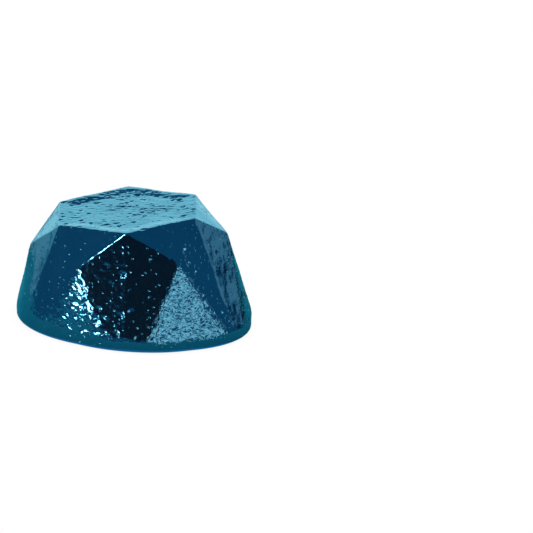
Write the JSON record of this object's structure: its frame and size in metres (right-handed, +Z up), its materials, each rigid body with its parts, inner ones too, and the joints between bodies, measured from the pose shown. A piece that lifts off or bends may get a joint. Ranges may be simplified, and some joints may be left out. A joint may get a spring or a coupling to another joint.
{
  "type": "cue chalk cube in a faceted holder",
  "caption": "Cube of cue chalk in a thin paper wrapper, held by friction in the square socket of a glossy gem-cut cast holder that stands on its mouth and lifts off.",
  "frame": {"origin": "middle of the foot, on the surface that the holder stands on", "axes": "+Z up, out of the table facet; -Y towards the front kite; +X to the right"},
  "size_m": [0.054, 0.055, 0.0283],
  "materials": {
    "resin": "glossy cast resin, pitted and rippled",
    "chalk": "matt pressed powder",
    "wrapper": "uncoated thin paper"
  },
  "bodies": {
    "chalk": {"chalk_cube": "chalk", "paper_wrapper": "wrapper"},
    "holder": {"faceted_holder": "resin"}
  },
  "joints": [
    {"name": "holder_lift", "type": "slide", "parent": "chalk", "child": "holder", "axis": [0, 0, 1], "range_m": [0, 0.026]}
  ]
}
